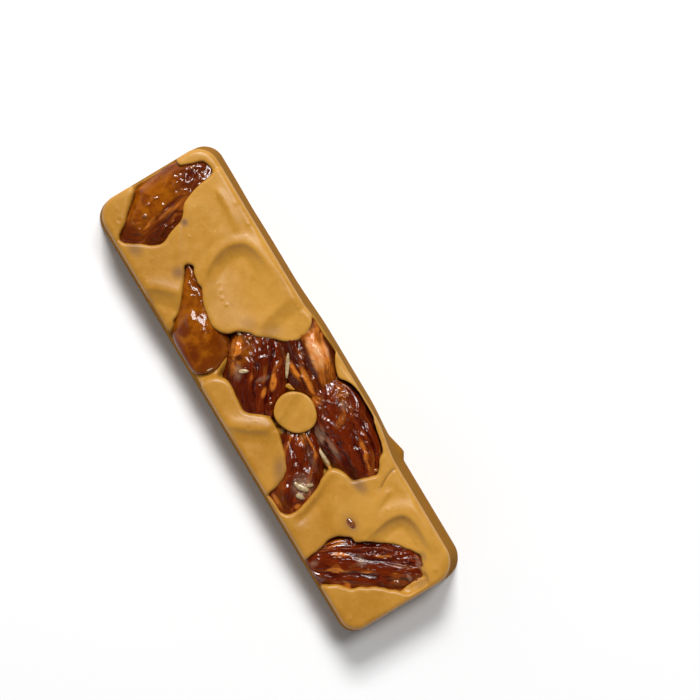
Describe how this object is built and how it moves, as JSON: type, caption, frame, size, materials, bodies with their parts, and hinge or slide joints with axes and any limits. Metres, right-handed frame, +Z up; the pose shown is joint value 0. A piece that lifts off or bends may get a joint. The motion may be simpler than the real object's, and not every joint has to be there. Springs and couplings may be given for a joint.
{
  "type": "honey chocolate bar",
  "caption": "Moulded blond chocolate snack bar with drafted walls; caramel-glazed almonds show in rounded recesses in its face.",
  "frame": {"origin": "centre of the flat base's outline, on the surface the bar rests on", "axes": "+X along the bar, +Y across it towards the side with the small spur of flash, +Z up out of the face with the almonds"},
  "size_m": [0.1098, 0.0319, 0.014],
  "materials": {
    "blond_chocolate": "satin moulded blond chocolate",
    "honey_glazed_almond": "glossy amber honey coat over an almond",
    "caramel_glazed_almond": "glossy dark caramel over a roasted almond skin",
    "sesame_seed": "pale toasted seed flakes caught in the glaze"
  },
  "bodies": {
    "root": {"chocolate_bar": "blond_chocolate", "almond_end": "honey_glazed_almond", "almond_teardrop": "honey_glazed_almond", "almond_left": "caramel_glazed_almond", "almond_far_left": "caramel_glazed_almond", "almond_far_right": "caramel_glazed_almond", "almond_near_right": "caramel_glazed_almond", "almond_slant": "caramel_glazed_almond"}
  },
  "joints": []
}
